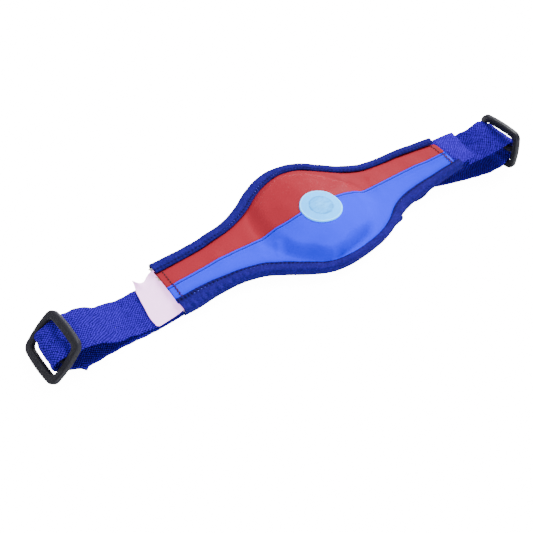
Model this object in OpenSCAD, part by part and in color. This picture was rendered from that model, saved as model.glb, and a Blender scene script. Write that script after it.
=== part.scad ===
// Padded waist belt.
// A soft pad with a magnet insert is sewn to one long webbing strap.  The strap
// runs out to a three-bar slide at each end, turns round its centre bar and
// comes back flat under the pad, so that pad and strap make one closed loop.
// X runs along the belt from the label end to the closure end, Y across it and
// Z up.  The origin is on the underside of the strap's back run, below the
// middle of the pad.  All sizes are in millimetres.

/* [Pad] */
// Length of the pad from end to end
pad_l = 260; // [215:1:315]
// Width of the pad across its middle
pad_w = 113; // [94:1:136]
// Width of the pad at its label end
left_end_w = 50; // [45:1:60]
// Width of the pad at its closure end
right_end_w = 45; // [44:1:60]
// Length of the swelling in the middle of the pad
bulge_l = 184; // [150:1:205]
// Thickness of the front and back panels
panel_t = 0.8; // [0.6:0.1:1.2]
// Thickness of the foam sheet between them
foam_t = 2.8; // [2:0.2:5]
// Height of the filled dome above the rest of the front
dome_h = 11.2; // [9:0.2:16]
// Distance of the pad's middle line from the strap's, across the belt
pad_shift = 3.5; // [0:0.5:6]
// Distance of the seam between the two front panels from the pad's middle line
seam_offset = 0.5; // [-3:0.5:5]

/* [Binding] */
// Width of the binding tape that shows on each face
binding_w = 8.5; // [6.5:0.5:11]
// Thickness of the binding tape
binding_t = 0.8; // [0.6:0.1:1]

/* [Magnet insert] */
// Distance of the insert's middle from the pad's, along the belt
insert_x = 1; // [-2:0.5:2]
// Distance of the insert's middle from the pad's, across the belt
insert_y = -0.5; // [-2:0.5:2]
// Number of magnets in the ring
ring_magnet_n = 8; // [6:1:8]
// Diameter of a ring magnet
ring_magnet_d = 12; // [8:0.5:12]
// Thickness of a ring magnet
ring_magnet_t = 3; // [2:0.5:3]
// Thickness of the middle magnet
centre_magnet_t = 5; // [3:0.5:6]
// Thickness of the felt disc that carries the magnets
carrier_t = 1.5; // [1:0.1:1.5]

/* [Badge and label] */
// Diameter of the round badge on the dome
badge_d = 33.4; // [24:0.2:42]
// Distance of the badge's middle from the insert's, along the belt
badge_x = 3; // [-8:0.5:8]
// Distance of the badge's middle from the insert's, across the belt
badge_y = -6; // [-8:0.5:8]
// Thickness of the badge
badge_t = 0.8; // [0.5:0.1:1.2]
// Width of the care label, across the belt
label_w = 44; // [35:1:48]
// Length of the care label that hangs out of the pad's end
label_l = 21; // [16:1:28]
// Thickness of the care label
label_t = 0.5; // [0.3:0.1:0.8]
// Distance of the label's middle from the strap's, across the belt
label_shift = 2; // [-2:0.5:5]

/* [Strap] */
// Width of the webbing
strap_w = 38; // [31:0.5:46]
// Thickness of the webbing
strap_t = 1.6; // [1.3:0.1:2]
// Distance from the pad's label end to the left slide's centre bar
left_reach = 87; // [72:1:130]
// Distance from the pad's closure end to the right slide's centre bar
right_reach = 46; // [42:1:100]
// Sideways drift of the belt at the right slide
right_drift = 22; // [0:1:28]
// Rise of the pad's closure end above the rest of the pad
right_lift = 10; // [8:0.5:12]
// Length of strap sewn under the pad's label end
sewn_l = 25; // [15:1:40]

/* [Closure] */
// Width of the closure tab
tab_w = 34; // [28:1:40]
// Length of the closure tab beyond the pad's end
tab_l = 17; // [15:0.5:18]
// Thickness of each hook-and-loop patch
patch_t = 0.8; // [0.6:0.1:1]
// Length of each hook-and-loop patch
patch_l = 11; // [8:0.5:12]

/* [Slides] */
// Difference between the webbing's width and the slot that gathers it
strap_gather = 6; // [2:0.5:8]
// Height of each slot, between two bars
slot_h = 9.6; // [8:0.1:11.6]
// Width of the upper and lower bars
bar_w = 5.8; // [4.5:0.1:7]
// Width of the side rails
rail_w = 4; // [3:0.1:6]
// Thickness of the slide's frame
slide_t = 3.8; // [3:0.1:4.6]
// Radius of the round centre bar
centre_bar_r = 2.6; // [2.2:0.1:3]
// Tilt of the left slide from flat
left_tilt = 40; // [36:1:46]

/* [Hidden] */

$fn = 72;
gap = 0.3;                 // clearance between pieces that move past each other
curve_gap = 0.15;          // clearance between curved layers of the dome
bar_gap = 0.4;             // clearance between a centre bar and the webbing round it
thread_w = 0.8;            // width of a row of stitches
thread_t = 0.4;            // height of a row of stitches
end_row = 4;               // distance of the row of stitches from the pad's end
cover = 200;               // larger than any section across the belt

// Heights of the layers above the pad's underside
back_lo = binding_t;
foam_lo = back_lo + panel_t;
front_lo = foam_lo + foam_t;
front_hi = front_lo + panel_t;
rim_t = front_hi + binding_t;

// Heights of the strap's runs and of the pad's underside
back_z = strap_t / 2;
run_gap = 2 * gap;
top_z = back_z + strap_t + run_gap;
pad_z = top_z + strap_t / 2;

// The pad's ends and the curve of its closure end
left_end = -pad_l / 2;
right_end = pad_l / 2;
lift_start = 50;
plan_step = 5;
side_step = 8;

// Dome and magnet insert
dome_edge = 3.5;           // flat ground between the dome and the binding
dome_r = pad_w / 2 - binding_w - dome_edge;
dome_rings = 14;
ring_r = dome_r / 2;
magnet_gap = 3;
centre_magnet_r = ring_r - ring_magnet_d / 2 - magnet_gap;
carrier_r = ring_r + ring_magnet_d / 2 + magnet_gap / 2;
carrier_lo = front_lo - 2;
carrier_hi = carrier_lo + carrier_t;

// Slides
slot_w = strap_w - strap_gather;
slide_w = slot_w + 2 * rail_w;
slide_h = 2 * (bar_w + slot_h + centre_bar_r);
slide_corner_r = 5;
slot_corner_r = 2.5;
left_bar_x = left_end - left_reach;
left_bar_z = slide_h / 2 * sin(left_tilt) + slide_t / 2 * cos(left_tilt) + 0.5;
right_bar_x = right_end + right_reach;
right_bar_z = slide_h / 2 + 0.6;

// Strap widths and where the webbing gathers into a slot
fold_w = slot_w - 1.6;
gather_start = 34;
gather_end = 14;
drift_end = right_bar_x - 6;

// Closure tab: its root is at the pad's end, just under the front panel
tab_tilt = 11.5;
tab_root_z = pad_z + right_lift + front_hi - 0.2;
tab_under_z = tab_root_z - strap_t;
patch_stack = 2 * patch_t + 2 * gap;
strap_end_x = 5;           // distance of the strap's end from the pad's end
patch_x = tab_l - patch_l - 0.5;

// Care label: its root is at the pad's end, just under the front panel
label_root_z = pad_z + front_hi - 0.4;
label_tilt = 11;
label_corner_r = 4;

function clamp01(t) = min(max(t, 0), 1);
function ease(t) = t * t * (3 - 2 * t);

// Sideways place of the belt's centreline
function drift(x) = -right_drift * pow(clamp01(x / drift_end), 2);

// Sideways place of the pad's middle line
function mid(x) = drift(x) + pad_shift;

// Rise of the pad towards its closure end
function lift(x) = right_lift * pow(clamp01((x - lift_start) / (right_end - lift_start)), 2);

// Half width of the pad
function end_half(x) = let (t = clamp01(x / pad_l + 0.5))
    (left_end_w * (1 - t) + right_end_w * t) / 2;
function bulge(x) = pow(cos(90 * min(abs(x) / (bulge_l / 2), 1)), 2);
function pad_half(x) = end_half(x) + (pad_w / 2 - end_half(x)) * bulge(x);
function pad_slope(x) = pad_half(x + 0.5) - pad_half(x - 0.5);
function inset_half(x, inset) = pad_half(x) - inset * sqrt(1 + pow(pad_slope(x), 2));

// Half width of the strap
function strap_half(x) =
    let (left = clamp01((x - left_bar_x - gather_end) / (gather_start - gather_end)),
         right = clamp01((right_bar_x - gather_end - x) / (gather_start - gather_end)))
    fold_w / 2 + (strap_w - fold_w) / 2 * ease(min(left, right));

// Height of the dome at a distance r from its middle, straight between rings
dome_line = [for (i = [0 : dome_rings])
    [dome_r * i / dome_rings, dome_h * pow(1 - pow(i / dome_rings, 3), 1.3)]];
function dome(r) = lookup(r, dome_line);
function rings_to(r) = concat([for (p = dome_line) if (p[0] < r - 0.01) p[0]], [r]);

// Stations along the pad, closer together where its outline or side view bends
plan_x = concat([left_end], [for (x = [-bulge_l / 2 : plan_step : right_end - 1]) x], [right_end]);
side_x = concat([left_end], [for (x = [lift_start : side_step : right_end - 1]) x], [right_end]);

// Smooth line through points
function blend(a, b, c, d, t) = 0.5 * (2 * b + (c - a) * t
    + (2 * a - 5 * b + 4 * c - d) * t * t + (3 * b - a - 3 * c + d) * t * t * t);
function smooth_line(p, n) = concat(
    [for (i = [0 : len(p) - 2], k = [0 : n - 1])
        blend(p[max(i - 1, 0)], p[i], p[i + 1], p[min(i + 2, len(p) - 1)], k / n)],
    [p[len(p) - 1]]);
function on_table(p) = [for (q = p) [q[0], max(q[1], back_z)]];
function side_of(p, i) = let (a = p[max(i - 1, 0)], b = p[min(i + 1, len(p) - 1)], d = (b - a) / norm(b - a))
    [-d[1], d[0]];

// Side view of the strap's middle: from the pad's label end round the left
// slide, back along the table, round the right slide and up to the closure
function left_at(dx, z) = [left_bar_x + dx, z];
function right_at(dx, z) = [right_bar_x + dx, z];
function closure_z(dx) = tab_under_z + dx * tan(tab_tilt) - patch_stack - strap_t / 2;
bar_pass = centre_bar_r + bar_gap + strap_t / 2;
left_route = [
    [left_end + sewn_l, top_z], [left_end + 10, top_z],
    left_at(67, top_z), left_at(54, top_z + 0.6), left_at(42, left_bar_z - 5.5),
    left_at(31, left_bar_z), left_at(20, left_bar_z + 2.8), left_at(10, left_bar_z + 3.8),
    left_at(0, left_bar_z + bar_pass), left_at(-4.2, left_bar_z + 2.1),
    left_at(-6, left_bar_z - 1.1), left_at(-4.8, left_bar_z - 4.1),
    left_at(-0.5, left_bar_z - 7.2), left_at(7, left_bar_z - 9.8),
    left_at(15, back_z + 0.3), left_at(21, back_z), left_at(28, back_z)];
right_route = [
    right_at(-36, back_z), right_at(-28, back_z), right_at(-20, back_z + 0.9),
    right_at(-12, back_z + 4.6), right_at(-6, right_bar_z - 8.2), right_at(-1, right_bar_z - 5.8),
    right_at(2.7, right_bar_z - 3.6), right_at(bar_pass, right_bar_z),
    right_at(2.7, right_bar_z + 3.6), right_at(-1, right_bar_z + 6),
    right_at(-6, right_bar_z + 7.8), right_at(-12, right_bar_z + 6.8),
    right_at(-18, right_bar_z + 3.8), [right_end + tab_l + 5, closure_z(tab_l + 5) + 0.5],
    [right_end + tab_l, closure_z(tab_l)], [right_end + 11, closure_z(11)],
    [right_end + strap_end_x, closure_z(strap_end_x)]];
route_steps = 3;
strap_line = on_table(concat(smooth_line(left_route, route_steps), smooth_line(right_route, route_steps)));

// Outline of the pad seen from above, with its long edges moved in by inset
module pad_plan(inset) {
    polygon(concat(
        [for (x = plan_x) [x, mid(x) + inset_half(x, inset)]],
        [for (i = [len(plan_x) - 1 : -1 : 0]) let (x = plan_x[i]) [x, mid(x) - inset_half(x, inset)]]));
}

// Ground on one side of a line that follows the pad's middle line
module side_plan(offset_y, side) {
    polygon(concat(
        [for (x = plan_x) [x, mid(x) + offset_y]],
        [[right_end, side * cover], [left_end, side * cover]]));
}

// One layer of the pad between two heights, following the rise of its end
module layer(lo, hi, inset) {
    intersection() {
        linear_extrude(cover) pad_plan(inset);
        rotate([90, 0, 0]) linear_extrude(cover, center = true) polygon(concat(
            [for (x = side_x) [x, pad_z + lift(x) + lo]],
            [for (i = [len(side_x) - 1 : -1 : 0]) let (x = side_x[i]) [x, pad_z + lift(x) + hi]]));
    }
}

module at_insert(z) {
    translate([insert_x, pad_shift + insert_y, z]) children();
}

module at_badge() {
    at_insert(0) translate([badge_x, badge_y, 0]) children();
}

// A round piece of the dome between two heights, out to a radius
module dome_layer(lo, hi, r) {
    rings = rings_to(r);
    at_insert(pad_z) rotate_extrude() polygon(concat(
        [for (q = rings) [q, lo + dome(q)]],
        [for (i = [len(rings) - 1 : -1 : 0]) [rings[i], hi + dome(rings[i])]]));
}

// The front of the pad, flat with a dome in the middle
module front_skin(lo, hi, inset) {
    difference() {
        layer(lo, hi, inset);
        at_insert(0) cylinder(r = dome_r, h = cover);
    }
    dome_layer(lo, hi, dome_r);
}

module magnet_at(i) {
    turn = 360 * i / ring_magnet_n;
    at_insert(pad_z + carrier_hi) translate([ring_r * cos(turn), ring_r * sin(turn), 0]) children();
}

module back_panel() {
    color("midnightblue") layer(back_lo, foam_lo, binding_t);
}

module foam_core() {
    color("lightyellow") difference() {
        layer(foam_lo, front_lo, binding_t);
        at_insert(pad_z + carrier_lo) cylinder(r = carrier_r + gap, h = cover);
    }
}

module magnet_carrier() {
    color("gainsboro") at_insert(pad_z + carrier_lo) cylinder(r = carrier_r, h = carrier_t);
}

module centre_magnet() {
    color("dimgray") at_insert(pad_z + carrier_hi) cylinder(r = centre_magnet_r, h = centre_magnet_t);
}

module ring_magnets() {
    color("dimgray") for (i = [0 : ring_magnet_n - 1])
        magnet_at(i) cylinder(d = ring_magnet_d, h = ring_magnet_t);
}

// Stuffing under the dome, short of its thin edge
module dome_filling() {
    rings = rings_to(dome_line[dome_rings - 1][0]);
    color("whitesmoke") difference() {
        at_insert(pad_z) rotate_extrude() polygon(concat(
            [[0, front_lo], [rings[len(rings) - 1], front_lo]],
            [for (i = [len(rings) - 1 : -1 : 0]) [rings[i], front_lo + dome(rings[i]) - curve_gap]]));
        for (i = [0 : ring_magnet_n - 1])
            magnet_at(i) cylinder(d = ring_magnet_d + 2 * gap, h = ring_magnet_t + gap);
        at_insert(pad_z + carrier_hi) cylinder(r = centre_magnet_r + gap, h = centre_magnet_t + gap);
    }
}

module front_panel_red() {
    color("indianred") intersection() {
        front_skin(front_lo, front_hi, binding_t);
        linear_extrude(cover) side_plan(seam_offset, 1);
    }
}

module front_panel_blue() {
    color("cornflowerblue") intersection() {
        front_skin(front_lo, front_hi, binding_t);
        linear_extrude(cover) side_plan(seam_offset, -1);
    }
}

// Row of stitches on the blue side of the seam, broken by the badge and
// stopping at the rows across the pad's ends
module seam_thread() {
    row = seam_offset - 2;
    row_l = pad_l - 2 * (end_row + thread_w + gap);
    color("darkblue") difference() {
        intersection() {
            front_skin(front_hi, front_hi + thread_t, binding_w);
            translate([-row_l / 2, -cover / 2, 0]) cube([row_l, cover, cover]);
            linear_extrude(cover) side_plan(row, -1);
            linear_extrude(cover) side_plan(row - thread_w, 1);
        }
        at_badge() cylinder(d = badge_d + 2 * gap, h = cover);
    }
}

// Binding tape folded over one long edge
module binding(side) {
    intersection() {
        difference() {
            layer(0, rim_t, 0);
            layer(back_lo, front_hi, binding_t);
            layer(-1, rim_t + 1, binding_w);
        }
        linear_extrude(cover) side_plan(0, side);
    }
}

module binding_far() {
    color("darkslateblue") binding(1);
}

module binding_near() {
    color("darkslateblue") binding(-1);
}

// Row of stitches on top of one binding
module binding_thread(side) {
    row = binding_w - 2;
    intersection() {
        difference() {
            layer(rim_t, rim_t + thread_t, row - thread_w);
            layer(rim_t - 1, rim_t + 1, row);
        }
        linear_extrude(cover) side_plan(0, side);
    }
}

module binding_thread_far() {
    color("mediumblue") binding_thread(1);
}

module binding_thread_near() {
    color("mediumblue") binding_thread(-1);
}

// Row of stitches across the pad, near one end
module end_thread(x) {
    intersection() {
        layer(front_hi, front_hi + thread_t, binding_w + gap);
        translate([x, -cover / 2, 0]) cube([thread_w, cover, cover]);
    }
}

module end_thread_left() {
    color("maroon") end_thread(left_end + end_row);
}

module end_thread_right() {
    color("maroon") end_thread(right_end - end_row - thread_w);
}

module round_badge() {
    color("paleturquoise") intersection() {
        dome_layer(front_hi + curve_gap, front_hi + curve_gap + badge_t, dome_r);
        at_badge() cylinder(d = badge_d, h = cover);
    }
}

module care_label() {
    color("lavenderblush") translate([left_end - gap, label_shift, label_root_z]) rotate([0, -label_tilt, 0])
        translate([0, 0, -label_t]) linear_extrude(label_t) union() {
            translate([-label_l + label_corner_r, -label_w / 2])
                square([label_l - label_corner_r, label_w]);
            translate([-label_l, -label_w / 2 + label_corner_r])
                square([label_corner_r + 1, label_w - 2 * label_corner_r]);
            for (side = [-1, 1])
                translate([-label_l + label_corner_r, side * (label_w / 2 - label_corner_r)])
                    circle(label_corner_r);
        }
}

// The strap: its side view pushed across the belt, cut to its plan view
module waist_strap() {
    last = len(strap_line) - 1;
    plan_lo = left_bar_x - 12;
    plan_hi = right_bar_x + 12;
    stations = concat([plan_lo], [for (x = [left_bar_x + gather_end : 5.5 : left_bar_x + gather_start]) x],
        [0], [for (x = [20 : 10 : right_bar_x - gather_start - 1]) x],
        [for (x = [right_bar_x - gather_start : 4 : drift_end]) x], [drift_end, plan_hi]);
    color("mediumblue") intersection() {
        rotate([90, 0, 0]) linear_extrude(cover, center = true) polygon(concat(
            [for (i = [0 : last]) strap_line[i] + side_of(strap_line, i) * strap_t / 2],
            [for (i = [last : -1 : 0]) strap_line[i] - side_of(strap_line, i) * strap_t / 2]));
        translate([0, 0, -1]) linear_extrude(cover) polygon(concat(
            [for (x = stations) [x, drift(x) + strap_half(x)]],
            [for (i = [len(stations) - 1 : -1 : 0]) let (x = stations[i]) [x, drift(x) - strap_half(x)]]));
    }
}

// A plate that follows the closure tab: from x_lo to x_hi beyond the pad's
// end, with its top a distance below the tab's top
module tab_plate(x_lo, x_hi, below, t, w, shift) {
    translate([right_end, shift, tab_root_z]) rotate([0, -tab_tilt, 0])
        translate([0, 0, -below - t]) linear_extrude(t) polygon([
            [x_lo, drift(right_end + x_lo) - w / 2], [x_hi, drift(right_end + x_hi) - w / 2],
            [x_hi, drift(right_end + x_hi) + w / 2], [x_lo, drift(right_end + x_lo) + w / 2]]);
}

module closure_tab() {
    color("royalblue") tab_plate(gap, tab_l, 0, strap_t, tab_w, pad_shift);
}

module hook_patch() {
    color("navy") tab_plate(patch_x, patch_x + patch_l, strap_t, patch_t, tab_w - 2, pad_shift);
}

module loop_patch() {
    color("slateblue")
        tab_plate(patch_x, patch_x + patch_l, strap_t + patch_t + gap, patch_t, tab_w - 2, 0);
}

module rounded_rect(l, w, r) {
    square([l - 2 * r, w], center = true);
    square([l, w - 2 * r], center = true);
    for (x = [-1, 1], y = [-1, 1]) translate([x * (l / 2 - r), y * (w / 2 - r)]) circle(r);
}

// Three-bar slide, flat, with its centre bar along Y through the origin
module slide() {
    linear_extrude(slide_t, center = true) difference() {
        rounded_rect(slide_h, slide_w, slide_corner_r);
        rounded_rect(2 * (centre_bar_r + slot_h), slot_w, slot_corner_r);
    }
    rotate([90, 0, 0]) cylinder(r = centre_bar_r, h = slot_w + rail_w, center = true);
}

module left_slide() {
    color("#37373e") translate([left_bar_x, 0, left_bar_z]) rotate([0, -left_tilt, 0]) slide();
}

module right_slide() {
    color("#37373e") translate([right_bar_x, -right_drift, right_bar_z]) rotate([0, -90, 0]) slide();
}

back_panel();
foam_core();
magnet_carrier();
centre_magnet();
ring_magnets();
dome_filling();
front_panel_red();
front_panel_blue();
seam_thread();
binding_far();
binding_near();
binding_thread_far();
binding_thread_near();
end_thread_left();
end_thread_right();
round_badge();
care_label();
waist_strap();
closure_tab();
hook_patch();
loop_patch();
left_slide();
right_slide();
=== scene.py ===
"""Looks of a padded waist belt, laid flat on a pale studio floor.

Lengths in this script are in millimetres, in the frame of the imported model:
X runs along the belt from the label end to the closure end, Y across it to
the red side, Z up.  MM turns them into Blender's metres.
"""

import math

import bpy
import numpy as np
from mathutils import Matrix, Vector


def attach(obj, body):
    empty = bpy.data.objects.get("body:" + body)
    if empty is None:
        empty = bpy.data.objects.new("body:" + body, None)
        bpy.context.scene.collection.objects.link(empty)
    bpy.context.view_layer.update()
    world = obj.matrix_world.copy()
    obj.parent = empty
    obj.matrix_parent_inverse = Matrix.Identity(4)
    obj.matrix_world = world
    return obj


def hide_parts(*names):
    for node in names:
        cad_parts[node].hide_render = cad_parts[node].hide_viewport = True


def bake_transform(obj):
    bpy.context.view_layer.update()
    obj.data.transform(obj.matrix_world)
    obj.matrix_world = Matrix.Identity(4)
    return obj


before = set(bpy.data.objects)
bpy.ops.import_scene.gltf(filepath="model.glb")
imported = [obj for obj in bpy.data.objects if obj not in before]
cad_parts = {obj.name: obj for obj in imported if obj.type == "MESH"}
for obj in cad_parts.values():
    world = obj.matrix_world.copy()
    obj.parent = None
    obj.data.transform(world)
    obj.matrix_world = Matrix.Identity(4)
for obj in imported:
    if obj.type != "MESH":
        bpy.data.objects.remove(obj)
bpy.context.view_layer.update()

MM = 0.001

# ---- the belt

# Pad
LEFT_END = -130.0
RIGHT_END = 130.0
LEFT_HALF = 25.0
RIGHT_HALF = 22.5
MIDDLE_HALF = 56.5
BULGE_HALF_L = 92.0
PAD_SHIFT = 3.5
PAD_Z = 3.8
FRONT_Z = 5.2
PANEL_T = 0.8
LIFT = 10.0
LIFT_START = 50.0

# Dome, with its middle a little off the pad's
DOME_X = 1.0
DOME_Y = 3.0
DOME_H = 11.2

# Badge
BADGE_X = 4.0
BADGE_Y = -3.0
BADGE_R = 16.7

# Strap
STRAP_HALF = 19.0
STRAP_T = 1.6
BACK_Z = 0.8
TOP_Z = 3.0
LEFT_BAR = (-217.0, 0.0, 13.53)
RIGHT_BAR = (176.0, -22.0, 18.6)
DRIFT = 22.0
DRIFT_END = 170.0
# One pick of its weave, along its length
PICK = 1.45

# Slides
SLIDE_W = 40.0
SLIDE_H = 36.0
SLOT_W = 32.0
SLOT_H = 9.6
SLIDE_T = 3.8
CENTRE_BAR_R = 2.6
LEFT_TILT = 40.0
RIGHT_TILT = 90.0

# Steps of the meshes along the belt
PANEL_STEP = 1.25
PAD_STEP = 2.5
STRIP_STEP = 0.6


def clamp01(t):
    return np.clip(t, 0.0, 1.0)


def ease(t):
    """A smooth step from 0 to 1."""
    t = clamp01(t)
    return t * t * (3 - 2 * t)


def bell(distance, width):
    return np.exp(-((distance / width) ** 2))


def fade(distance, width):
    """1 up to an edge, and fading out past it."""
    return np.exp(-np.maximum(distance, 0) / width)


def joined(*parts):
    """Numbers side by side: the last axis holds one point or one flow."""
    return np.stack(np.broadcast_arrays(*parts), -1)


def drift(x):
    """Sideways place of the strap's middle line."""
    return -DRIFT * clamp01(np.asarray(x, float) / DRIFT_END) ** 2


def mid(x):
    """Sideways place of the pad's middle line."""
    return drift(x) + PAD_SHIFT


def lift(x):
    """Rise of the pad towards its closure end."""
    return LIFT * clamp01((np.asarray(x, float) - LIFT_START) / (RIGHT_END - LIFT_START)) ** 2


def through(points):
    """A smooth function through a few (x, value) points, flat beyond them."""
    px, py = np.array(points, float).T
    slope = np.gradient(py, px)

    def value(x):
        x = np.clip(np.asarray(x, float), px[0], px[-1])
        i = np.clip(np.searchsorted(px, x) - 1, 0, len(px) - 2)
        h = px[i + 1] - px[i]
        t = (x - px[i]) / h
        a = (1 + 2 * t) * (1 - t) ** 2 * py[i] + t * (1 - t) ** 2 * h * slope[i]
        return a + t * t * (3 - 2 * t) * py[i + 1] + t * t * (t - 1) * h * slope[i + 1]

    return value


def waves(x, *terms):
    """A sum of sine waves, each (height, length, start): an uneven but fixed ripple."""
    x = 2 * np.pi * np.asarray(x, float)
    return sum(height * np.sin(x / length + start) for height, length, start in terms)


# How far each long edge of the pad strays from its plain outline
far_stray = through(
    [(-130, -0.5), (-96, 1), (-80, 2), (-60, -0.8), (-46, -1.6), (-30, 0.5), (-8, 1.5), (12, 2),
     (25, 2), (38, -0.6), (53, -3.2), (66, -2.5), (80, 0.8), (95, 1.8), (110, 0.6), (130, -2)]
)
near_stray = through(
    [(-130, 2), (-118, 2), (-105, 0.6), (-86, 0), (-73, -0.8), (-62, -1.6), (-50, -0.5), (-33, 1.4),
     (-22, 1.7), (-8, 0.4), (8, -0.3), (20, 0.8), (30, 2.6), (40, 4), (64, 4.2), (84, 4.2),
     (101, 1.7), (115, -0.8), (130, -2.8)]
)


def plain_half(x):
    """Half the pad's width, before its edges stray."""
    x = np.asarray(x, float)
    t = clamp01(x / (RIGHT_END - LEFT_END) + 0.5)
    end = LEFT_HALF * (1 - t) + RIGHT_HALF * t
    bulge = np.cos(0.5 * np.pi * np.minimum(np.abs(x) / BULGE_HALF_L, 1)) ** 2
    return end + (MIDDLE_HALF - end) * bulge


def edge_y(x, side):
    """Outer edge of the pad: side 1 is the far edge, side -1 the near one."""
    stray = far_stray(x) if side > 0 else near_stray(x)
    return mid(x) + side * (plain_half(x) + stray)


def edge_normal(x, side):
    """Direction straight out of a long edge."""
    slope = (edge_y(x + 0.5, side) - edge_y(x - 0.5, side)) * side
    n = joined(-slope, side)
    return n / np.linalg.norm(n, axis=-1, keepdims=True)


def rim_rise(x, side):
    """How far the rim stands up over its plain height."""
    x = np.asarray(x, float)
    middle = bell(x - 8, 34)
    return 2.2 * middle if side > 0 else 0.8 * middle


far_tape = through(
    [(-130, 9.2), (-60, 8.4), (-35, 9.2), (-10, 8.8), (10, 7.2), (40, 6.6), (80, 6.2), (130, 6.8)]
)
near_tape = through(
    [(-130, 12), (-118, 12), (-100, 10.2), (-85, 8.4), (-45, 7.8), (-32, 6.8), (-20, 5.6),
     (-3, 4.6), (8, 3.9), (18, 4), (34, 4.1), (48, 4.6), (66, 7.6), (84, 7.8), (101, 7.2),
     (115, 6.2), (130, 5.4)]
)


def tape_w(x, side):
    """Width of the binding that shows on the front."""
    return far_tape(x) if side > 0 else near_tape(x)


# Plain width of the tape's section, and the part of it that is rolled over the edge
TAPE_W = 8.4
TAPE_ROLL = 3.0


def tape_at(share, w):
    """Distance from the outer edge.  The roll keeps its size and the rest fills the width w."""
    d = share * TAPE_W
    flat = (d - TAPE_ROLL) * (w - TAPE_ROLL) / (TAPE_W - TAPE_ROLL)
    return np.where(d < TAPE_ROLL, d, TAPE_ROLL + flat)


def inner_y(x, side):
    """Edge of the front panels where the binding starts."""
    n = edge_normal(x, side)
    return edge_y(x, side) - side * tape_w(x, side) / np.abs(n[..., 1])


# Distance of the seam's stitches from the blue panel's folded edge
SEAM_IN = 2.1

# Seam between the two front panels, measured from the strap's middle line
seam_off = through(
    [(-130, 1.8), (-105, 3.2), (-74, 4.4), (-54, 3.4), (-40, 2.6), (-24, 0.8), (-5, 0.9), (5, 1.2),
     (30, 2.3), (48, 1.8), (60, 2.2), (80, 3.6), (100, 4), (115, 3.2), (130, 3.4)]
)


def seam_y(x):
    """The blue panel's folded edge."""
    return drift(x) + seam_off(x)


def smooth_points(points, n):
    """More points on a smooth line through a few."""
    p = np.asarray(points, float)
    t = (np.arange(n) / n)[:, None]
    out = []
    for i in range(len(p) - 1):
        a, b, c, d = p[max(i - 1, 0)], p[i], p[i + 1], p[min(i + 2, len(p) - 1)]
        bend = 2 * a - 5 * b + 4 * c - d + (3 * b - a - 3 * c + d) * t
        out.append(b + 0.5 * t * (c - a + bend * t))
    return np.concatenate([*out, p[-1:]])


def line_length(points):
    """Distance of each point along a line."""
    return np.concatenate([[0], np.cumsum(np.linalg.norm(np.diff(points, axis=0), axis=1))])


def at_distance(at, lengths, points):
    """Points at some distances along a line."""
    return np.stack([np.interp(at, lengths, column) for column in points.T], -1)


def even_line(points, step):
    """Points an even step apart along a line, and the distance to each."""
    s = line_length(points)
    at = np.linspace(0, s[-1], int(s[-1] / step) + 1)
    return at_distance(at, s, points), at


# ---- front of the pad


def around(points):
    """A smooth function of a direction in degrees, from a few (direction, value) points."""
    points = sorted(points)
    before = [(a - 360, v) for a, v in points[-3:]]
    after = [(a + 360, v) for a, v in points[:3]]
    return through(before + points + after)


# Direction from the dome's middle, radius of its shoulder, radius of its foot, height of the
# shoulder over the flat of the pad, and how sharp the shoulder is.  None where a line has no point
DOME_LINES = [
    (-165, 33, 50.5, 6.2, 0.2), (-145, 39, 49, 6.6, 0.5), (-128, 38.5, 49, 6.7, 0.7),
    (-109, 42.5, 50, 6.2, 0.9), (-98, 41, 47.5, 6.4, None), (-84, 37.5, 45.5, 6.6, 0.8),
    (-66, 38.5, 47, 6.2, 0.7), (-50, 42, 50, 5, 0.3), (-25, 37, 54, 4.6, 0), (0, 36, 48, 4.6, 0.3),
    (12, 39, 46, 4.8, 0.9), (28, 34.5, 44, None, 1), (45, 35.5, 45.5, 5.2, None),
    (60, 37.6, 46, None, 1), (74, 38.5, None, 4.8, 0.9), (90, 42.5, 50, 3.8, 0.6),
    (108, 41, 50, 3.6, 0.6), (128, 40, 50, 3.8, 0.7), (146, 38, 51, 4.8, 0.7),
    (170, 32, 50.5, 5.8, 0.3),
]
shoulder_r, foot_r, shoulder_h, shoulder_edge = (
    around([(row[0], row[k]) for row in DOME_LINES if row[k] is not None]) for k in range(1, 5)
)


def dome(x, y):
    """Height of the stuffed dome: a low crown, a creased shoulder and a steep flank."""
    dx, dy = x - DOME_X, y - DOME_Y
    r = np.hypot(dx, dy)
    turn = np.degrees(np.arctan2(dy, dx))
    shoulder, foot = shoulder_r(turn), foot_r(turn)
    high, edge = shoulder_h(turn), shoulder_edge(turn)
    crown = high + (DOME_H - high) * (1 - clamp01(r / shoulder) ** 1.7)
    t = clamp01((r - shoulder) / (foot - shoulder))
    flank = high * (1 - t * t * (3 - 2 * t))
    h = np.where(r < shoulder, crown, flank)
    h = h + 0.55 * edge * bell(r - shoulder, np.where(r > shoulder, 1.2, 4))
    return h - 0.35 * edge * bell(r - foot, 2.2)


def fold(x, y, points, height, near, far):
    """A ridge, or with a negative height a valley, along a smooth line through a few points."""
    line = smooth_points(points, 6)
    d = np.full(x.shape, 1e9)
    side = np.zeros(x.shape)
    share = np.zeros(x.shape)
    for k in range(len(line) - 1):
        a, b = line[k], line[k + 1]
        ab = b - a
        t = clamp01(((x - a[0]) * ab[0] + (y - a[1]) * ab[1]) / (ab @ ab))
        ox, oy = x - a[0] - t * ab[0], y - a[1] - t * ab[1]
        dd = np.hypot(ox, oy)
        closer = dd < d
        d = np.where(closer, dd, d)
        side = np.where(closer, ab[0] * oy - ab[1] * ox, side)
        share = np.where(closer, (k + t) / (len(line) - 1), share)
    width = np.where(side > 0, far, near)
    ends = ease(np.minimum(share, 1 - share) * 4)
    return height * ends * bell(d, width)


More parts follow.
